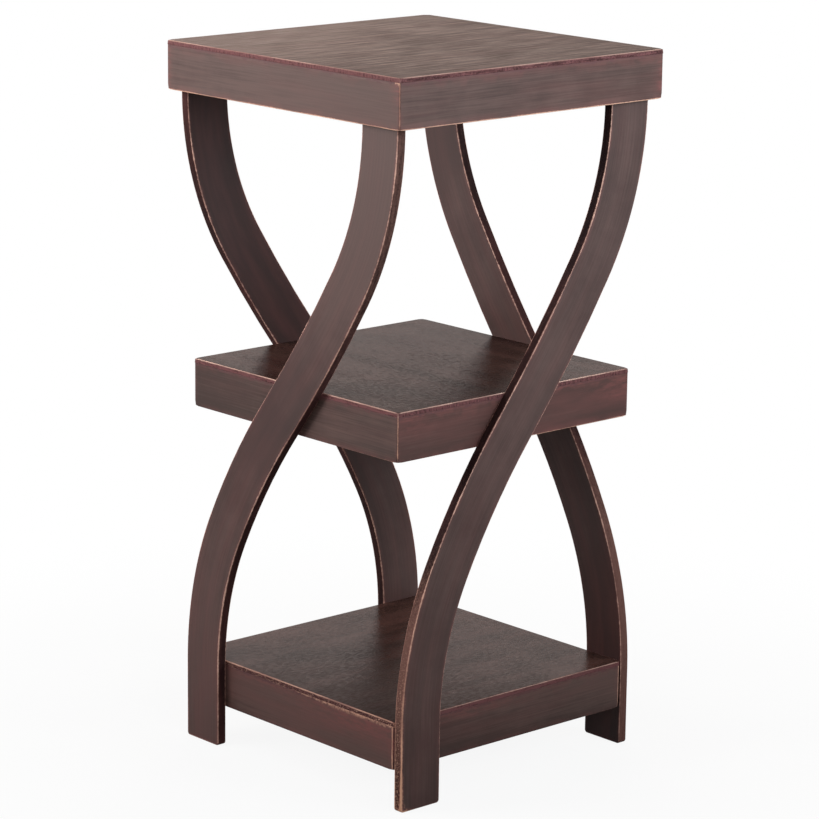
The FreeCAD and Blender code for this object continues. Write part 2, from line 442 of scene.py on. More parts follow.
def new_material(name):
    """New material with a principled shader, its node tree and the shader."""
    material = bpy.data.materials.new(name)
    material.use_nodes = True
    tree = material.node_tree
    tree.nodes.clear()
    shader = tree.nodes.new("ShaderNodeBsdfPrincipled")
    add_node(tree, "ShaderNodeOutputMaterial", {"Surface": shader.outputs["BSDF"]})
    return material, tree, shader


def add_node(tree, kind, inputs, **traits):
    """Adds a node. Its inputs, by name or number, are values or other nodes' outputs."""
    node = tree.nodes.new(kind)
    for trait, value in traits.items():
        setattr(node, trait, value)
    for key, value in inputs.items():
        if is_output(value):
            tree.links.new(value, node.inputs[key])
        else:
            node.inputs[key].default_value = value
    return node


def is_output(value):
    """Whether a value is another node's output."""
    return isinstance(value, bpy.types.NodeSocket)


def worked_out(operation, a, b):
    """One step of arithmetic on a node's output and a number or a second output."""
    return add_node(a.id_data, "ShaderNodeMath", {0: a, 1: b}, operation=operation).outputs[0]


def sum_of(a, b):
    return worked_out("ADD", a, b)


def product(a, b):
    return worked_out("MULTIPLY", a, b)


def larger(a, b):
    return worked_out("MAXIMUM", a, b)


def ramp(value, low, high, to_low=0.0, to_high=1.0):
    """Smooth step of a node's output between two limits."""
    inputs = {"Value": value, "From Min": low, "From Max": high, "To Min": to_low, "To Max": to_high}
    return add_node(value.id_data, "ShaderNodeMapRange", inputs, interpolation_type="SMOOTHSTEP").outputs[0]


def mixed(factor, *colours):
    """Mix of two colours, each a node's output or plain red, green and blue."""
    inputs = {0: factor}
    for key, value in zip(MIX_INPUTS, colours):
        inputs[key] = value if is_output(value) else (*value, 1.0)
    return add_node(factor.id_data, "ShaderNodeMix", inputs, data_type="RGBA").outputs[MIX_RESULT]


def read_attribute(tree, name):
    return add_node(tree, "ShaderNodeAttribute", {}, attribute_name=name).outputs["Fac"]


def object_place(tree):
    return add_node(tree, "ShaderNodeTexCoord", {}).outputs["Object"]


def noise(tree, vector, scale, detail, roughness):
    """Smooth noise from 0 to 1 about 0.5."""
    inputs = {"Vector": vector, "Scale": scale, "Detail": detail, "Roughness": roughness}
    return add_node(tree, "ShaderNodeTexNoise", inputs).outputs[0]


def stretched_noise(tree, vector, stretch, detail, roughness):
    """Noise with its own number of waves to a metre along each axis."""
    mapping = add_node(tree, "ShaderNodeMapping", {"Vector": vector, "Scale": stretch})
    return noise(tree, mapping.outputs[0], 1.0, detail, roughness)


def grained(tree, along, across, detail, roughness):
    """Noise in the piece's own map, where the grain runs along U."""
    grain = add_node(tree, "ShaderNodeUVMap", {}, uv_map="grain").outputs[0]
    return stretched_noise(tree, grain, (along, across, 1.0), detail, roughness)


def scattered(tree, scale, detail, roughness):
    """Noise that is the same in all directions."""
    return noise(tree, object_place(tree), scale, detail, roughness)


def dress(shader, base, roughness, relief=None, shine=None):
    """Gives a shader its colour, roughness, relief (height, strength and depth) and specular level."""
    tree = base.id_data
    tree.links.new(base, shader.inputs["Base Color"])
    tree.links.new(roughness, shader.inputs["Roughness"])
    if relief:
        height, strength, depth = relief
        bump = add_node(tree, "ShaderNodeBump", {"Strength": strength, "Distance": depth, "Height": height})
        tree.links.new(bump.outputs[0], shader.inputs["Normal"])
    if shine is not None:
        shader.inputs["Specular IOR Level"].default_value = shine


# Worn edges

# Patterns along the grain: waves to a metre along and across it, then detail and roughness.
MOTTLE = 60.0, 260.0, 4.0, 0.70
HUE = 7.0, 45.0, 3.0, 0.60
SEAM_STREAKS = 12.0, 400.0, 4.0, 0.65
SEAM_CRUMBS = 150.0, 420.0, 4.0, 0.70
# Patterns that are the same in all directions: waves to a metre, then detail and roughness.
RAGGED = 420.0, 4.0, 0.65
PATCHY = 45.0, 3.0, 0.55
FADING = 16.0, 2.0, 0.55
SPECKS = 800.0, 2.0, 0.55
# What a pattern makes of a reach or a strength: the pattern's two limits, and the share at each.
PATCH = 0.35, 0.65, 0.0, 1.0
PATCHY_DRIFT = 0.30, 0.70, 0.80, 1.20
RAGGED_DRIFT = 0.25, 0.75, 0.70, 1.35
MOTTLED = 0.35, 0.65, 0.15, 1.0
HALO_PATCHES = 0.0, 1.0, 0.25, 1.0
HUE_DRIFT = 0.30, 0.70, 0.40, 1.60
HUE_WARMTH = 0.40, 0.70, 0.0, 0.08
SPECKS_LEFT = 0.54, 0.66, 0.0, 1.0
RAGGED_CHIPS = 0.38, 0.60, 0.25, 1.0
# Strength of the red coat and its halo at an edge, and what rubbing adds to its reach in millimetres.
COAT_STRENGTH = 0.75
HALO_STRENGTH = 0.30
RUBBED_COAT = 1.6
# The bare line: what rubbing adds to its reach, the share of that reach that is fully bare, the share
# that is the same all along, the limits of the pattern and the strength left where it fades.
RUBBED_LINE = 0.7
LINE_CORE = 0.35
STEADY_LINE = 0.4
FADE_LIMITS = 0.36, 0.60
FADED_LINE = 0.45
# Chips under a panel: the limits of rubbing, their depth and overlap in millimetres, and their strength.
CHIP_LIMITS = 0.15, 0.70
CHIP_DEPTH = 4.0
CHIP_OVERLAP = 0.5
CHIP_STRENGTH = 0.8
# The strip under a panel: its reach by the crumbs, what rubbing adds, its soft end, and its strength.
STRIP_REACH = 0.36, 0.64, 0.2, 3.4
RUBBED_STRIP = 1.5
STRIP_END = 1.2
STRIP_STRENGTH = 0.40, 0.62, 0.45, 0.95
# The streaks under it: their reach, what rubbing adds, their least reach, their strength, the share of
# them that a board's redness leaves, and how uneven they are.
WASH_REACH = 12.0
RUBBED_WASH = 6.0
WASH_LEAST = 1.5
WASH_STRENGTH = 0.8
WASH_BY_REDNESS = 0.0, 0.15, 0.30, 1.0
WASH_STREAKS = 0.35, 0.65, 0.25, 0.80


def worn_edges(tree, stain, bare_colour, line, coat, glow, blush, crumbled):
    """Lays the red undercoat and then bare wood over a stain, in ragged bands along the edges.

    line is the bare line's reach from an edge in millimetres and its strength, coat and glow are the reach
    of the red coat and of its faint halo, blush is the share of the rubbed places that shows, and crumbled
    is how far specks of bare wood fill them. Gives the colour and the share of bare wood.
    """
    finish = settings("finish")
    arris = read_attribute(tree, "arris")
    rub = read_attribute(tree, "rub")
    ragged = scattered(tree, *RAGGED)
    patchy = scattered(tree, *PATCHY)
    patch = ramp(patchy, *PATCH)
    drift = product(ramp(patchy, *PATCHY_DRIFT), ramp(ragged, *RAGGED_DRIFT))
    halo = product(ramp(arris, 0.0, glow, HALO_STRENGTH, 0.0), ramp(patch, *HALO_PATCHES))
    coat_reach = product(drift, sum_of(product(rub, RUBBED_COAT), coat))
    coated = ramp(arris, 0.0, coat_reach, COAT_STRENGTH, 0.0)
    mottle = ramp(grained(tree, *MOTTLE), *MOTTLED)
    rubbed = product(product(read_attribute(tree, "blush"), blush), mottle)
    strip, wash = seam_smear(tree, patch, rub)
    red = larger(sum_of(coated, halo), larger(wash, rubbed))
    hue = grained(tree, *HUE)
    own = product(read_attribute(tree, "redness"), ramp(hue, *HUE_DRIFT))
    warmth = sum_of(own, ramp(hue, *HUE_WARMTH))
    reddened = mixed(sum_of(red, warmth), stain, finish.undercoat)
    under = mixed(strip, reddened, finish.seam_coat)
    speckled = product(rub, larger(coated, crumbled))
    specks = product(ramp(scattered(tree, *SPECKS), *SPECKS_LEFT), speckled)
    chips = larger(specks, seam_chips(tree, ragged, rub, drift))
    bare = larger(bare_line(tree, arris, rub, drift, *line), chips)
    return mixed(bare, under, mixed(rub, bare_colour, finish.rubbed_wood)), bare


def bare_line(tree, arris, rub, drift, reach, strength):
    """Share of bare wood in the line along the edges, which fades here and there."""
    steady = sum_of(product(drift, 1.0 - STEADY_LINE), STEADY_LINE)
    line_reach = product(steady, sum_of(product(rub, RUBBED_LINE), reach))
    fade = ramp(scattered(tree, *FADING), *FADE_LIMITS, FADED_LINE * strength, strength)
    return product(ramp(arris, product(line_reach, LINE_CORE), line_reach, 1.0, 0.0), fade)


def seam_chips(tree, ragged, rub, drift):
    """Share of bare wood in the chips at the seam under a panel."""
    chipped = ramp(product(drift, rub), *CHIP_LIMITS, RUBBED_BAND, RUBBED_BAND - CHIP_DEPTH)
    seam_line = ramp(read_attribute(tree, "seam"), chipped, RUBBED_BAND + CHIP_OVERLAP, 0.0, CHIP_STRENGTH)
    return product(seam_line, ramp(ragged, *RAGGED_CHIPS))


def seam_smear(tree, patch, rub):
    """Shares of two reds on an apron: a ragged dark strip under its panel, and streaks further down."""
    seam = read_attribute(tree, "seam")
    crumbs = grained(tree, *SEAM_CRUMBS)
    strip_reach = sum_of(ramp(crumbs, *STRIP_REACH), product(rub, RUBBED_STRIP))
    strip_end = sum_of(product(strip_reach, -1.0), RUBBED_BAND)
    strip = ramp(seam, strip_end, sum_of(strip_end, STRIP_END), 0.0, 1.0)
    uneven = product(strip, ramp(crumbs, *STRIP_STRENGTH))
    wash_reach = sum_of(product(patch, WASH_REACH), product(rub, RUBBED_WASH))
    wash_start = sum_of(product(wash_reach, -1.0), RUBBED_BAND - WASH_LEAST)
    wash = ramp(seam, wash_start, RUBBED_BAND, 0.0, WASH_STRENGTH)
    left = ramp(read_attribute(tree, "redness"), *WASH_BY_REDNESS)
    streaked = product(left, ramp(grained(tree, *SEAM_STREAKS), *WASH_STREAKS))
    return uneven, product(wash, streaked)


# Stain, board edges, softwood and steel

# Detail and roughness of the stain's fine streaks, broad streaks and clouds.
FINE_DETAIL = 5.0, 0.65
BROAD_DETAIL = 3.0, 0.55
CLOUD_DETAIL = 4.0, 0.60
MIDDLE_TONE = 0.5
# Limits of a pattern between its dark and light parts.
PATTERN_LIMITS = 0.30, 0.70
# Pores by the fine streaks, and dark stain and painted shade by a board's paleness where it is below 0.
PORE_DEPTH = 0.42, 0.58, 1.0, 0.0
SUNK_STAIN_AND_SHADE = -0.50, -0.05, 0.7, 0.0
# How much rougher the dark parts, smoother the light parts and rougher the bare line of a stain are.
DARK_ROUGHER = 0.06
LIGHT_SMOOTHER = 0.04
LINE_ROUGHER = 0.15
# Fine pores in the stain's relief, the shares of streaks and pores in it, and its strength.
RELIEF_PORES = 900.0, 2.0, 0.55
STREAK_RELIEF = 0.7
PORE_RELIEF = 0.3
STAIN_RELIEF = 0.25
# Crumbs and streaks of a coarse board edge, their shares of its tone, and the tone where pits and coat meet.
EDGE_CRUMBS = 560.0, 3.0, 0.70
EDGE_STREAKS = 60.0, 380.0, 4.0, 0.70
CRUMB_SHARE = 0.45
STREAK_SHARE = 0.55
EDGE_TONE = 0.51
PITS_ROUGHER = 0.10
COAT_SMOOTHER = 0.05
# Strength and depth of the relief on coarse edges and softwood.
COARSE_RELIEF = 0.4, 0.0003
# Softwood: its upright grain, how dark its dark parts are and the roughness of its dark and light parts.
SOFTWOOD_GRAIN = (260.0, 260.0, 12.0), 4.0, 0.55
SOFTWOOD_DARK = 0.55
SOFTWOOD_ROUGHNESS = 0.75, 0.60
# Steel: its clouds, how dark its dark parts are and the roughness of its dark and light parts.
STEEL_CLOUDS = 700.0, 4.0, 0.55
STEEL_DARK = 0.70
STEEL_ROUGHNESS = 0.45, 0.28


def stain_material(name, colours, scales, weights, contrast, pores, wear, gloss, relief_depth):
    """Rubbed stain: fine and broad streaks along the grain, soft clouds and worn edges.

    scales are those of the fine streaks, the broad ones and the clouds, and weights their shares of the
    tone. The smaller contrast is, the harder the light and dark parts meet. pores is how dark the stain
    lies in the pores and how much rougher they are. gloss is the roughness, the specular level and how
    much less rough the paler parts are.
    """
    material, tree, shader = new_material(name)
    fine_scale, broad_scale, cloud_scale = scales
    fine = grained(tree, *fine_scale, *FINE_DETAIL)
    broad = grained(tree, *broad_scale, *BROAD_DETAIL)
    clouds = scattered(tree, cloud_scale, *CLOUD_DETAIL)
    streaks = sum_of(product(fine, weights[0]), product(broad, weights[1]))
    tone = sum_of(streaks, product(clouds, weights[2]))
    paleness = read_attribute(tree, "paleness")
    streaked = mixed(ramp(sum_of(tone, paleness), MIDDLE_TONE - contrast, MIDDLE_TONE + contrast), *colours)
    pore_dark, pore_rougher = pores
    dots = ramp(fine, *PORE_DEPTH)
    sunk_and_shade = larger(ramp(paleness, *SUNK_STAIN_AND_SHADE), product(dots, pore_dark))
    # Where the paleness holds painted shade, this mix towards the dark pits colour paints that shade.
    stain = mixed(sunk_and_shade, streaked, settings("finish").side_pits)
    base, line = worn_edges(tree, stain, *wear)
    roughness, shine, polish = gloss
    by_tone = ramp(tone, *PATTERN_LIMITS, roughness + DARK_ROUGHER, roughness - LIGHT_SMOOTHER)
    satin = sum_of(by_tone, product(line, LINE_ROUGHER))
    dull = sum_of(product(dots, pore_rougher), product(paleness, -polish))
    height = sum_of(product(fine, STREAK_RELIEF), product(scattered(tree, *RELIEF_PORES), PORE_RELIEF))
    dress(shader, base, sum_of(satin, dull), (height, STAIN_RELIEF, relief_depth), shine)
    return material


def edge_material(name, pits, coat, bare_colour, red, contrast, wear, gloss):
    """Coarse board edge: stain in its pits, a coat on what stands out, and worn edges.

    red is the attribute that tells how much of the coat is left, and a value that is added to it. The
    smaller contrast is, the harder pits and coat meet. gloss is the roughness and the specular level.
    """
    material, tree, shader = new_material(name)
    crumbs = scattered(tree, *EDGE_CRUMBS)
    streaks = grained(tree, *EDGE_STREAKS)
    tone = sum_of(product(crumbs, CRUMB_SHARE), product(streaks, STREAK_SHARE))
    attribute, plain = red
    left = sum_of(tone, sum_of(read_attribute(tree, attribute), plain))
    stain = mixed(ramp(left, EDGE_TONE - contrast, EDGE_TONE + contrast), pits, coat)
    base, _ = worn_edges(tree, stain, bare_colour, *wear)
    roughness, shine = gloss
    by_tone = ramp(tone, *PATTERN_LIMITS, roughness + PITS_ROUGHER, roughness - COAT_SMOOTHER)
    dress(shader, base, by_tone, (crumbs, *COARSE_RELIEF), shine)
    return material


def two_tones(pattern, light, darkening):
    """Colour between a light one and its darker kind, by a pattern."""
    return mixed(ramp(pattern, *PATTERN_LIMITS), [darkening * value for value in light], light)


def softwood_material():
    """Bare softwood of the corner blocks, with its grain upright."""
    material, tree, shader = new_material("block wood")
    grain = stretched_noise(tree, object_place(tree), *SOFTWOOD_GRAIN)
    base = two_tones(grain, settings("finish").block_wood, SOFTWOOD_DARK)
    dress(shader, base, ramp(grain, *PATTERN_LIMITS, *SOFTWOOD_ROUGHNESS), (grain, *COARSE_RELIEF))
    return material


def screw_material():
    """Zinc-plated steel with a dull, cloudy shine."""
    material, tree, shader = new_material("screw steel")
    clouds = scattered(tree, *STEEL_CLOUDS)
    base = two_tones(clouds, settings("finish").screw_steel, STEEL_DARK)
    dress(shader, base, ramp(clouds, *PATTERN_LIMITS, *STEEL_ROUGHNESS))
    shader.inputs["Metallic"].default_value = 1.0
    return material


# Panels and aprons


class SIDETABLE_OT_panels(bpy.types.Operator):
    """Model the thin square panels that lie on the aprons"""

    bl_idname = "side_table.panels"
    bl_label = "Panels"

    # Stain of each tier's panel: fine streaks, shares of fine streaks, broad streaks and clouds, and pores.
    FINE_SCALES = {"bottom": (160.0, 420.0), "middle": (160.0, 420.0), "top": (18.0, 420.0)}
    WEIGHTS = {"bottom": (0.30, 0.40, 0.30), "middle": (0.30, 0.40, 0.30), "top": (0.64, 0.22, 0.14)}
    PORES = {"bottom": (0.28, 0.12), "middle": (0.28, 0.10), "top": (0.30, 0.06)}
    BROAD_SCALE = 8.0, 45.0
    CLOUD_SCALE = 30.0
    CONTRAST = 0.14
    RELIEF_DEPTH = 0.0012
    # How strong the stain of the two lower panels is.
    SHELF_DEPTH = {"bottom": 0.71, "middle": 0.47}
    # Roughness and specular level of each panel, and how much less rough its paler parts are.
    GLOSS = {"bottom": (0.17, 0.027, 0.9), "middle": (0.16, 0.009, 0.7), "top": (0.52, 0.034, 0.3)}
    # Reach and strength of the bare line on each rim, and the rest of the wear on the faces and the edges.
    RIM_LINES = {"bottom": (0.7, 0.85), "middle": (0.9, 0.95), "top": (0.9, 0.55)}
    FACE_WEAR = 1.0, 3.0, 0.0, 0.0
    EDGE_WEAR = 0.5, 3.0, 0.6, 1.0
    # Red coat that is left on each panel's front, right, back and left edge.
    EDGE_RED = {
        "bottom": (-0.03, 0.09, 0.0, 0.0),
        "middle": (0.06, 0.03, 0.0, 0.0),
        "top": (0.06, 0.01, 0.0, 0.0),
    }
    EDGE_CONTRAST = 0.09
    EDGE_GLOSS = 0.65, 0.12
    # Axis of each panel's grain, its shift from tier to tier, and the way in which the tone changes.
    GRAIN_AXIS = {"bottom": 1, "middle": 0, "top": 1}
    GRAIN_SHIFT = 0.7
    TONE_WAYS = {"bottom": Vector((1, -1, 0)), "middle": Vector((1, -1, 0)), "top": Vector((1.5, 0.8, 0))}
    SCORE_INSETS = 0.003, 0.005, 0.008, 0.020, 0.060
    # Normals that point up or down by more than this belong to the panel's faces, the others to its edges.
    LEVEL_NORMAL = 0.9

    def execute(self, context):
        for number, tier in enumerate(TIERS):
            node = tier + "_panel"
            low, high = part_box(node)
            piece = self.model(tier + "_panel_board", low, high, corner_radius(tier))
            along = self.GRAIN_AXIS[tier]
            places = [vertex.co for vertex in piece.data.vertices]
            lay_grain(piece, [(p[along], p[1 - along], p.z) for p in places], self.GRAIN_SHIFT * number)
            gaps = [(high.x - abs(p.x), high.x - abs(p.y), high.z - p.z) for p in places]
            write_wear(piece, node, [edge_distance(*around) for around in gaps])
            write_tone(piece, node, [p.dot(self.TONE_WAYS[tier]) for p in places])
            write_values(piece, "edge_red", [self.edge_red(tier, p) for p in places])
            smooth(piece)
            hand_over(piece, node, "panel_wood", self.face_stain(tier), self.edge_stain(tier))
            for polygon in piece.data.polygons:
                polygon.material_index = 0 if abs(polygon.normal.z) > self.LEVEL_NORMAL else 1
        return {"FINISHED"}

    def face_stain(self, tier):
        """Stain of a tier's panel."""
        finish = settings("finish")
        colours = finish.top_dark, finish.top_light
        if tier != "top":
            shades = finish.shelf_dark, finish.shelf_light
            colours = [[self.SHELF_DEPTH[tier] * value for value in shade] for shade in shades]
        return stain_material(
            tier + " panel stain",
            colours,
            (self.FINE_SCALES[tier], self.BROAD_SCALE, self.CLOUD_SCALE),
            self.WEIGHTS[tier],
            self.CONTRAST,
            self.PORES[tier],
            (finish.bare_rim, self.RIM_LINES[tier], *self.FACE_WEAR),
            self.GLOSS[tier],
            self.RELIEF_DEPTH,
        )

    def edge_stain(self, tier):
        """Finish of the edges of a tier's panel."""
        finish = settings("finish")
        colours = finish.edge_pits, finish.edge_coat, finish.bare_rim
        wear = self.RIM_LINES[tier], *self.EDGE_WEAR
        red = "edge_red", 0.0
        return edge_material(tier + " panel edge", *colours, red, self.EDGE_CONTRAST, wear, self.EDGE_GLOSS)

    def edge_red(self, tier, place):
        """Red left on the edge that is nearest to a place."""
        reaches = -place.y, place.x, place.y, -place.x
        return self.EDGE_RED[tier][reaches.index(max(reaches))]

    def model(self, name, low, high, radius):
        """A block with rounded corners and rims, scored beside its rims."""
        piece = rounded_block(name, low, high, radius, high.z, low.z)
        for inset in self.SCORE_INSETS:
            for way in (WIDTH_WAY, -WIDTH_WAY, DEPTH_WAY, -DEPTH_WAY):
                score(way * (high.x - inset), way)
        sand_tips(piece, high, high.z, radius)
        close_piece()
        return piece


class SIDETABLE_OT_aprons(bpy.types.Operator):
    """Model the mitred apron boards under the panels"""

    bl_idname = "side_table.aprons"
    bl_label = "Aprons"

    # Stain: fine streaks, broad streaks and clouds, their shares of the tone, and the rest.
    SCALES = (14.0, 700.0), (3.5, 70.0), 30.0
    WEIGHTS = 0.45, 0.28, 0.27
    CONTRAST = 0.16
    PORES = 0.12, 0.02
    WEAR = (1.2, 1.0), 1.5, 8.0, 1.0, 0.0
    GLOSS = 0.46, 0.18, 0.0
    RELIEF_DEPTH = 0.0002
    # How much thinner and fainter the bare line is on the upright edges.
    UPRIGHT_THINNING = 1.7
    UPRIGHT_FADING = 0.0005
    # The groove beside each foot, at the upright ends of the bottom tier's boards, where the shadow in the
    # gap beside the leg is painted in dark.
    GROOVE_REACH = 0.0020
    GROOVE_PAINTED_SHADOW = 1.8
    GROOVE_STEEPNESS = 4.0
    # Painted shade: how much darker the boards get towards their lower edge, and how high up.
    LOWER_PAINTED_SHADES = {"bottom": 0.28, "middle": 0.10, "top": 0.0}
    SHADE_RISE = 0.014
    # How far the grain is shifted from tier to tier and from side to side.
    TIER_SHIFT = 1.31
    SIDE_SHIFT = 0.37
    LEVEL_INSETS = 0.002, 0.005, 0.011
    END_INSETS = 0.003, 0.005, 0.008, 0.015, 0.030, 0.050, 0.080

    def execute(self, context):
        stain = self.stain()
        for number, tier in enumerate(TIERS):
            low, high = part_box(tier + "_apron_front")
            front = self.model(tier + "_apron_board_front", low, high, corner_radius(tier))
            places = [(v.co.x, v.co.z, v.co.y) for v in front.data.vertices]
            along = [place[0] for place in places]
            shades = self.shades(tier, places, low, high)
            smooth(front)
            for quarters, side in enumerate(SIDES):
                node = f"{tier}_apron_{side}"
                name = f"{tier}_apron_board_{side}"
                piece = front if side == "front" else turned_copy(front, name, quarters)
                lay_grain(piece, places, self.TIER_SHIFT * number + self.SIDE_SHIFT * quarters)
                self.wear(piece, node, low, high, along)
                write_tone(piece, node, along, shades)
                hand_over(piece, node, "apron_wood", stain)
        return {"FINISHED"}

    def stain(self):
        """Stain of all the aprons."""
        finish = settings("finish")
        colours = finish.apron_dark, finish.apron_light
        pattern = self.SCALES, self.WEIGHTS, self.CONTRAST, self.PORES
        wear = finish.bare_apron, *self.WEAR
        return stain_material("apron stain", colours, *pattern, wear, self.GLOSS, self.RELIEF_DEPTH)

    def model(self, name, low, high, radius):
        """The front board, sawn from a block with the tier's rounded corners."""
        far = Vector((high.x, -low.y, high.z))
        piece = rounded_block(name, low, far, radius, low.z, high.z)
        saw(MIDDLE, WIDTH_WAY + DEPTH_WAY)
        saw(MIDDLE, DEPTH_WAY - WIDTH_WAY)
        saw(Vector((0, high.y, 0)), DEPTH_WAY)
        for inset in self.LEVEL_INSETS:
            score(Vector((0, 0, low.z + inset)), UP)
            score(Vector((0, 0, high.z - inset)), UP)
        for inset in self.END_INSETS:
            score(Vector((low.x + inset, 0, 0)), WIDTH_WAY)
            score(Vector((high.x - inset, 0, 0)), WIDTH_WAY)
        sand_tips(piece, far, low.z, radius)
        close_piece()
        return piece

    def shades(self, tier, places, low, high):
        """How much painted shade darkens a tier's boards at each vertex, low down and in the grooves by the
        feet.
        """
        shades = []
        for along, height, _ in places:
            lower = max(0.0, 1 - (height - low.z) / self.SHADE_RISE)
            groove = max(0.0, 1 - (high.x - abs(along)) / self.GROOVE_REACH) if tier == "bottom" else 0.0
            shades.append(self.LOWER_PAINTED_SHADES[tier] * lower + self.GROOVE_PAINTED_SHADOW * groove)
        return shades

    def wear(self, piece, node, low, high, along):
        """Wear along the lower edge and, thinner, the upright ones, and in the band under the panel."""
        distances = []
        for vertex, kept in zip(piece.data.vertices, kept_edge(node, along)):
            beside = sorted((high.x - abs(vertex.co.x), high.x - abs(vertex.co.y)))
            above = vertex.co.z - low.z
            # On the bottom tier the upright bare line keeps off the painted shadow in the groove by each
            # foot.
            if node.startswith("bottom"):
                inside = beside[1] - self.GROOVE_REACH
                upright = max(inside, -self.GROOVE_STEEPNESS * inside) + self.UPRIGHT_FADING / 2
            else:
                upright = beside[1] * self.UPRIGHT_THINNING + self.UPRIGHT_FADING
            distances.append(min(max(beside[0], above) + kept, upright))
        write_wear(piece, node, distances)
        depths = [(high.z - vertex.co.z) / MILLIMETRE for vertex in piece.data.vertices]
        write_values(piece, "seam", [max(0.0, RUBBED_BAND - depth) for depth in depths])


# Legs


def joined_arcs(start, start_way, end, end_way):
    """Where two arcs meet that leave start and reach end in the given ways, and their way there."""
    chord = end - start
    bend = 2 * (1 - start_way.dot(end_way))
    along = chord.dot(start_way + end_way)
    reach = (math.sqrt(along**2 + bend * chord.dot(chord)) - along) / bend
    leaving = start + start_way * reach
    arriving = end - end_way * reach
    return (leaving + arriving) / 2, (arriving - leaving).normalized()


def leg_stations():
    """Points up the middle of the front leg, from foot to head, with the leg's way at each."""
    shape = settings("shape")
    low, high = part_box("leg_front")
    middle_y = (low.y + high.y) / 2
    foot = Vector((low.x + shape.leg_width / 2, middle_y, low.z))
    head = Vector((high.x - shape.leg_width / 2, middle_y, high.z))
    bend = Vector((foot.x, middle_y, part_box("bottom_panel")[1].z - shape.bend_drop))
    straight = Vector((head.x, middle_y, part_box("top_apron_front")[0].z))
    run = straight.x - bend.x
    rise = straight.z - bend.z
    crossing = bend + Vector((run * shape.crossing_run, 0, rise * shape.crossing_rise))
    lean = Vector((run * shape.lean, 0, rise)).normalized()
    lower_joint = joined_arcs(bend, UP, crossing, lean)
    upper_joint = joined_arcs(crossing, lean, straight, UP)
    return [(foot, UP), (bend, UP), lower_joint, (crossing, lean), upper_joint, (straight, UP), (head, UP)]


def arc_turn(start, way, end_way, end):
    """Centre of the arc between two stations, and its turn about +Y."""
    turn = math.atan2(way.z * end_way.x - way.x * end_way.z, way.dot(end_way))
    side = Vector((way.z, 0, -way.x))
    radius = (end - start).length / 2 / math.sin(turn / 2)
    return start + side * radius, turn


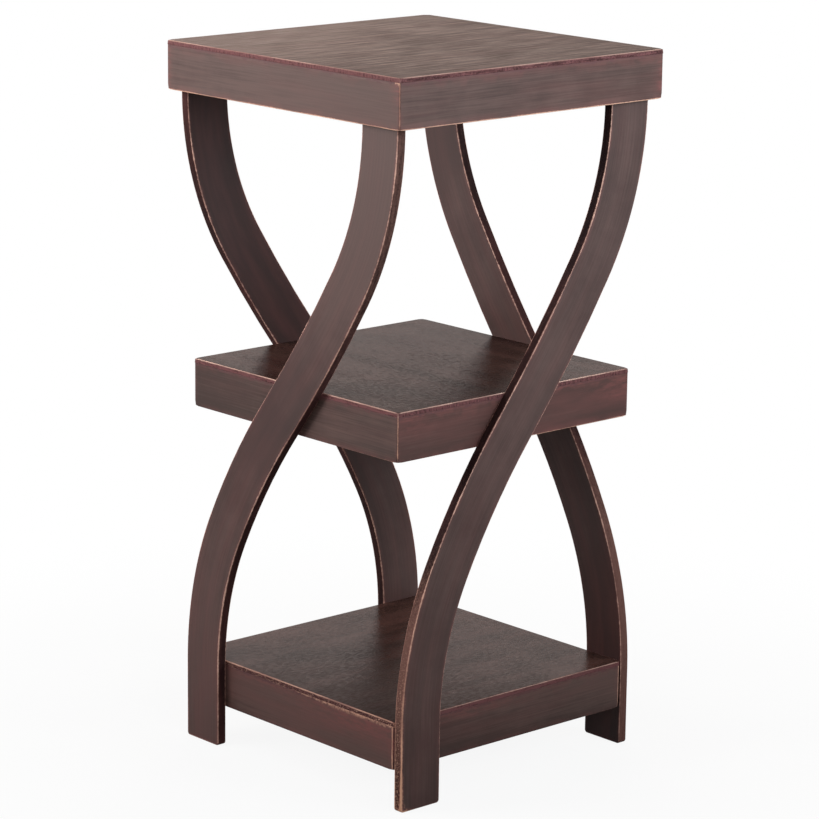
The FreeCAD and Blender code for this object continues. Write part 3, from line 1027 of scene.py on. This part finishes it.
class SIDETABLE_OT_legs(bpy.types.Operator):
    """Model the four flat S-shaped legs"""

    bl_idname = "side_table.legs"
    bl_label = "Legs"

    STRAIGHT_STEPS = 7
    ARC_STEP = math.radians(1.8)
    FOOT_STEPS = 5
    SCORE_INSETS = 0.0025, 0.005, 0.010
    # Distance between the points on the middle line that the grain follows.
    LINE_STEP = 0.0005
    GRAIN_SHIFT = 0.9
    # Stain of the faces: fine streaks, broad streaks and clouds, their shares of the tone, and the rest.
    SCALES = (12.0, 620.0), (3.0, 62.0), 26.0
    WEIGHTS = 0.22, 0.36, 0.42
    CONTRAST = 0.19
    PORES = 0.10, 0.03
    GLOSS = 0.46, 0.18, 0.0
    RELIEF_DEPTH = 0.00015
    BARE_LINE = 1.6, 1.45
    FACE_WEAR = BARE_LINE, 2.4, 5.0, 0.0, 0.0
    # Finish of the narrow sides.
    SIDE_RED = "blush", -0.25
    SIDE_CONTRAST = 0.28
    SIDE_WEAR = BARE_LINE, 2.0, 3.0, 0.0, 0.6
    SIDE_GLOSS = 0.75, 0.06
    # Normals that point to the front or back by more than this belong to the leg's wide faces.
    FACE_NORMAL = 0.8

    def execute(self, context):
        face = self.face_stain()
        side_face = self.side_stain()
        front = self.model()
        places = self.places(front)
        smooth(front)
        for quarters, side in enumerate(SIDES):
            node = "leg_" + side
            piece = front if side == "front" else turned_copy(front, "leg_board_" + side, quarters)
            self.lay_out(piece, node, places, self.GRAIN_SHIFT * quarters)
            hand_over(piece, node, "leg_wood", face, side_face)
            turn = Matrix.Rotation(-QUARTER_TURN * quarters, 3, "Z")
            for polygon in piece.data.polygons:
                polygon.material_index = 0 if abs((turn @ polygon.normal).y) > self.FACE_NORMAL else 1
        return {"FINISHED"}

    def face_stain(self):
        """Stain of the legs' faces."""
        finish = settings("finish")
        colours = finish.leg_dark, finish.leg_light
        pattern = self.SCALES, self.WEIGHTS, self.CONTRAST, self.PORES
        wear = finish.bare_wood, *self.FACE_WEAR
        return stain_material("leg stain", colours, *pattern, wear, self.GLOSS, self.RELIEF_DEPTH)

    def side_stain(self):
        """Finish of the legs' narrow sides."""
        finish = settings("finish")
        colours = finish.side_pits, finish.side_coat, finish.bare_wood
        traits = self.SIDE_RED, self.SIDE_CONTRAST, self.SIDE_WEAR, self.SIDE_GLOSS
        return edge_material("leg side", *colours, *traits)

    def model(self):
        """The front leg: its section swept up its middle line, from a rounded foot."""
        shape = settings("shape")
        low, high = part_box("leg_front")
        thickness = high.y - low.y
        stations = leg_stations()
        sole = stations[0][0]
        piece = self.section("leg_board_front", sole, shape.leg_width, thickness)
        ankle = self.foot(sole, shape, thickness)
        for (start, way), (end, end_way) in zip(stations, stations[1:]):
            if way == end_way:
                start = ankle if start is sole else start
                for _ in range(self.STRAIGHT_STEPS):
                    self.extrude((end - start) / self.STRAIGHT_STEPS)
            else:
                centre, turn = arc_turn(start, way, end_way, end)
                steps = math.ceil(abs(turn) / self.ARC_STEP)
                bpy.ops.mesh.spin(steps=steps, angle=-turn, center=centre, axis=DEPTH_WAY)
        close_piece()
        return piece

    def section(self, name, middle, width, thickness):
        """The leg's cross-section on the floor, with rounded corners."""
        arris = settings("shape").leg_arris
        bpy.ops.object.select_all(action="DESELECT")
        bpy.ops.mesh.primitive_plane_add(size=1, location=middle, scale=(1, 1, 1))
        bpy.ops.transform.resize(value=(width, thickness, 1))
        piece = open_piece(name)
        bpy.ops.mesh.select_mode(type="VERT")
        bpy.ops.mesh.select_all(action="SELECT")
        bpy.ops.mesh.bevel(offset=arris, segments=ARRIS_SEGMENTS, profile=ROUND_PROFILE, affect="VERTICES")
        bpy.ops.mesh.select_mode(type="FACE")
        for inset in (*self.SCORE_INSETS, width / 2):
            for way in (1, -1):
                score(middle + WIDTH_WAY * way * (width / 2 - inset), WIDTH_WAY)
        score(middle, DEPTH_WAY)
        bpy.ops.mesh.select_all(action="SELECT")
        return piece

    def foot(self, middle, shape, thickness):
        """Shrinks the section to the sole, and grows it up the rounded corners of the foot."""
        half = Vector((shape.leg_width / 2, thickness / 2))
        before = Vector((1, 1))
        place = middle.copy()
        for step in range(self.FOOT_STEPS + 1):
            bow = QUARTER_TURN * step / self.FOOT_STEPS
            rise = shape.foot_radius * (1 - math.cos(bow))
            dip = max(0.0, shape.leg_arris - rise)
            lost_width = shape.foot_radius * (1 - math.sin(bow))
            lost_depth = shape.leg_arris - math.sqrt(shape.leg_arris**2 - dip**2)
            now = Vector((1 - lost_width / half.x, 1 - lost_depth / half.y))
            if step:
                self.extrude(UP * (middle.z + rise - place.z))
            place.z = middle.z + rise
            bpy.ops.transform.resize(value=(now.x / before.x, now.y / before.y, 1), center_override=place)
            before = now
        return place

    def extrude(self, move):
        bpy.ops.mesh.extrude_region_move(TRANSFORM_OT_translate={"value": move})

    def middle_line(self):
        """Close points up the front leg's middle, each with the leg's way and its distance from the sole."""
        line = []
        stations = leg_stations()
        run = 0.0
        for (start, way), (end, end_way) in zip(stations, stations[1:]):
            steps = math.ceil((end - start).length / self.LINE_STEP)
            if way == end_way:
                points = [(start.lerp(end, k / steps), way) for k in range(steps + 1)]
                reach = (end - start).length
            else:
                centre, turn = arc_turn(start, way, end_way, end)
                turns = [Matrix.Rotation(turn * k / steps, 3, "Y") for k in range(steps + 1)]
                points = [(centre + part @ (start - centre), part @ way) for part in turns]
                reach = abs(turn) * (start - centre).length
            line += [(point, heading, run + reach * k / steps) for k, (point, heading) in enumerate(points)]
            run += reach
        return line

    def places(self, piece):
        """Each vertex's places along, across and through the front leg."""
        line = self.middle_line()
        tree = KDTree(len(line))
        for number, (point, _, _) in enumerate(line):
            tree.insert(point, number)
        tree.balance()
        found = []
        for vertex in piece.data.vertices:
            flat = Vector((vertex.co.x, line[0][0].y, vertex.co.z))
            _, number, _ = tree.find(flat)
            point, heading, run = line[number]
            offset = flat - point
            across = offset.dot(Vector((heading.z, 0, -heading.x)))
            found.append((run + offset.dot(heading), across, vertex.co.y))
        return found

    def lay_out(self, piece, node, places, shift):
        """Grain map, wear and tone of one leg."""
        lay_grain(piece, places, shift)
        half = settings("shape").leg_width / 2
        low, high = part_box("leg_front")
        runs = [along for along, _, _ in places]
        distances = []
        for (along, across, depth), kept in zip(places, kept_edge(node, runs)):
            gaps = half - across, half + across, depth - low.y, high.y - depth, along
            distances.append(edge_distance(*gaps) + kept)
        write_wear(piece, node, distances)
        write_tone(piece, node, runs)


class SIDETABLE_OT_fixings(bpy.types.Operator):
    """Finish the corner blocks and leg screws under the tiers"""

    bl_idname = "side_table.fixings"
    bl_label = "Blocks and screws"

    def execute(self, context):
        wood = softwood_material()
        steel = screw_material()
        for tier in TIERS:
            for corner in CORNERS:
                self.finish(f"{tier}_block_{corner}", wood, "block_wood")
            self.finish(tier + "_leg_screws", steel, "screw_steel")
        return {"FINISHED"}

    def finish(self, node, material, slot):
        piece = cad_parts[node]
        piece.data.materials.clear()
        piece.data.materials.append(material)


# Stage


class SIDETABLE_OT_stage(bpy.types.Operator):
    """Set up the floor, the lamps, the world and the camera"""

    bl_idname = "side_table.stage"
    bl_label = "Stage"

    FLOOR_RADIUS = 14.0
    FLOOR_SIDES = 96
    # Distances from the table's middle between which its shadow on the floor goes over into white.
    SHADOW_LIMITS = 0.15, 0.75
    # How white the floor is under the table: in reflections and as the camera sees it.
    REFLECTED_WHITENESS = 0.20
    SEEN_WHITENESS = 0.91
    PLAIN_LIGHT = 1.0, 1.0, 1.0
    COOL_LIGHT = 0.89, 1.0, 1.06
    WARM_LIGHT = 1.30, 0.97, 0.84
    # Soft boxes round the table: name, place, size, power, height that it faces, spread in degrees and tint.
    # Those with a narrow spread have a grid and light the table's upper half.
    LAMPS = (
        ("key_lamp", (-0.75, -1.35, 1.45), 1.1, 2.4, 0.42, 180, PLAIN_LIGHT),
        ("left_lamp", (-0.72, -1.16, 0.92), 0.7, 3.6, 0.62, 60, PLAIN_LIGHT),
        ("right_lamp", (1.18, 0.48, 0.90), 0.7, 2.5, 0.62, 60, COOL_LIGHT),
        ("front_right_lamp", (1.25, -0.45, 1.10), 0.7, 1.3, 0.62, 60, COOL_LIGHT),
        ("back_lamp", (-1.20, 1.20, 1.30), 1.2, 6.0, 0.42, 180, WARM_LIGHT),
    )

    def execute(self, context):
        stage = settings("stage")
        self.floor(stage)
        for lamp in self.LAMPS:
            self.soft_box(*lamp)
        self.world(stage)
        self.camera(stage)
        context.scene.view_settings.view_transform = "Standard"
        return {"FINISHED"}

    def floor(self, stage):
        """Wide pale floor, white far from the table, with its shadow near it, and clear from below."""
        bpy.ops.object.select_all(action="DESELECT")
        bpy.ops.mesh.primitive_circle_add(
            vertices=self.FLOOR_SIDES,
            radius=self.FLOOR_RADIUS,
            fill_type="NGON",
            location=(0, 0, 0),
        )
        floor = bpy.context.object
        floor.name = "studio_floor"
        material = bpy.data.materials.new("studio floor")
        material.use_nodes = True
        tree = material.node_tree
        tree.nodes.clear()
        grey = add_node(tree, "ShaderNodeBsdfDiffuse", {"Color": (*stage.floor_bounce, 1.0)}).outputs[0]
        paper = add_node(tree, "ShaderNodeBsdfDiffuse", {"Color": (*stage.floor_colour, 1.0)}).outputs[0]
        white = add_node(tree, "ShaderNodeEmission", {"Color": WHITE, "Strength": 1.0}).outputs[0]
        clear = add_node(tree, "ShaderNodeBsdfTransparent", {}).outputs[0]
        straight = add_node(tree, "ShaderNodeLightPath", {}).outputs["Is Camera Ray"]
        below = add_node(tree, "ShaderNodeNewGeometry", {}).outputs["Backfacing"]
        distance = add_node(tree, "ShaderNodeVectorMath", {0: object_place(tree)}, operation="LENGTH")
        shaded = ramp(straight, 0.0, 1.0, self.REFLECTED_WHITENESS, self.SEEN_WHITENESS)
        whiteness = ramp(distance.outputs["Value"], *self.SHADOW_LIMITS, shaded, 1.0)
        shown = self.either(tree, whiteness, paper, white)
        above = self.either(tree, self.seen(tree), grey, shown)
        add_node(tree, "ShaderNodeOutputMaterial", {"Surface": self.either(tree, below, above, clear)})
        floor.data.materials.append(material)

    def either(self, tree, factor, a, b):
        """Mix of two shaders."""
        return add_node(tree, "ShaderNodeMixShader", {0: factor, 1: a, 2: b}).outputs[0]

    def seen(self, tree):
        """1 for rays that show the background: straight ones, and those off shiny or clear surfaces."""
        rays = add_node(tree, "ShaderNodeLightPath", {}).outputs
        shiny = larger(rays["Is Camera Ray"], rays["Is Glossy Ray"])
        return larger(shiny, rays["Is Transmission Ray"])

    def soft_box(self, name, place, size, power, aim_height, spread, tint):
        """Square soft box that faces the table's middle at a height."""
        way = Vector((0, 0, aim_height)) - Vector(place)
        bpy.ops.object.select_all(action="DESELECT")
        bpy.ops.object.light_add(type="AREA", location=place)
        lamp = bpy.context.object
        lamp.name = name
        lamp.data.shape = "SQUARE"
        lamp.data.size = size
        lamp.data.energy = power
        lamp.data.color = tint
        lamp.data.spread = math.radians(spread)
        lamp.rotation_euler = way.to_track_quat("-Z", "Y").to_euler()

    def world(self, stage):
        """Even grey surround that the camera and shiny surfaces see as white."""
        world = bpy.data.worlds.new("studio world")
        bpy.context.scene.world = world
        world.use_nodes = True
        tree = world.node_tree
        tree.nodes.clear()
        strength = ramp(self.seen(tree), 0.0, 1.0, stage.surround, 1.0)
        surround = add_node(tree, "ShaderNodeBackground", {"Color": WHITE, "Strength": strength})
        add_node(tree, "ShaderNodeOutputWorld", {"Surface": surround.outputs[0]})

    def camera(self, stage):
        """Camera at the photograph's place, turn and focal length."""
        a, e, r = stage.azimuth, stage.elevation, stage.roll
        back = Vector((math.sin(a) * math.cos(e), -math.cos(a) * math.cos(e), math.sin(e)))
        level = Vector((math.cos(a), math.sin(a), 0))
        upright = back.cross(level)
        right = level * math.cos(r) + upright * math.sin(r)
        up = upright * math.cos(r) - level * math.sin(r)
        place = right * stage.aim_side + up * stage.aim_height + back * stage.distance
        turn = Matrix((right, up, back)).transposed().to_4x4()
        bpy.ops.object.camera_add()
        camera = bpy.context.object
        camera.name = "photo_camera"
        camera.matrix_world = Matrix.Translation(place) @ turn
        camera.data.sensor_width = SENSOR_WIDTH
        camera.data.lens = stage.focal_pixels / IMAGE_SIZE * SENSOR_WIDTH
        bpy.context.scene.camera = camera


class SIDETABLE_PT_sidebar(bpy.types.Panel):
    """Steps that build the table, in order, and its sizes and colours"""

    bl_idname = "SIDETABLE_PT_sidebar"
    bl_label = "Tiered side table"
    bl_space_type = "VIEW_3D"
    bl_region_type = "UI"
    bl_category = "Side Table"

    def draw(self, context):
        for step in STEPS:
            self.layout.operator(step.bl_idname)
        for name, kind in GROUPS.items():
            box = self.layout.box()
            box.label(text=name.capitalize())
            for trait in kind.__annotations__:
                box.prop(settings(name), trait)


STEPS = (
    SIDETABLE_OT_panels,
    SIDETABLE_OT_aprons,
    SIDETABLE_OT_legs,
    SIDETABLE_OT_fixings,
    SIDETABLE_OT_stage,
)
GROUPS = {"shape": TableShape, "finish": TableFinish, "stage": TableStage}
CLASSES = (*GROUPS.values(), *STEPS, SIDETABLE_PT_sidebar)


def register():
    for kind in CLASSES:
        bpy.utils.register_class(kind)
    for name, kind in GROUPS.items():
        setattr(bpy.types.Scene, "side_table_" + name, PointerProperty(type=kind))


def unregister():
    for name in GROUPS:
        delattr(bpy.types.Scene, "side_table_" + name)
    for kind in reversed(CLASSES):
        bpy.utils.unregister_class(kind)


def main():
    register()
    bpy.ops.side_table.panels()
    bpy.ops.side_table.aprons()
    bpy.ops.side_table.legs()
    bpy.ops.side_table.fixings()
    bpy.ops.side_table.stage()


if __name__ == "__main__":
    main()
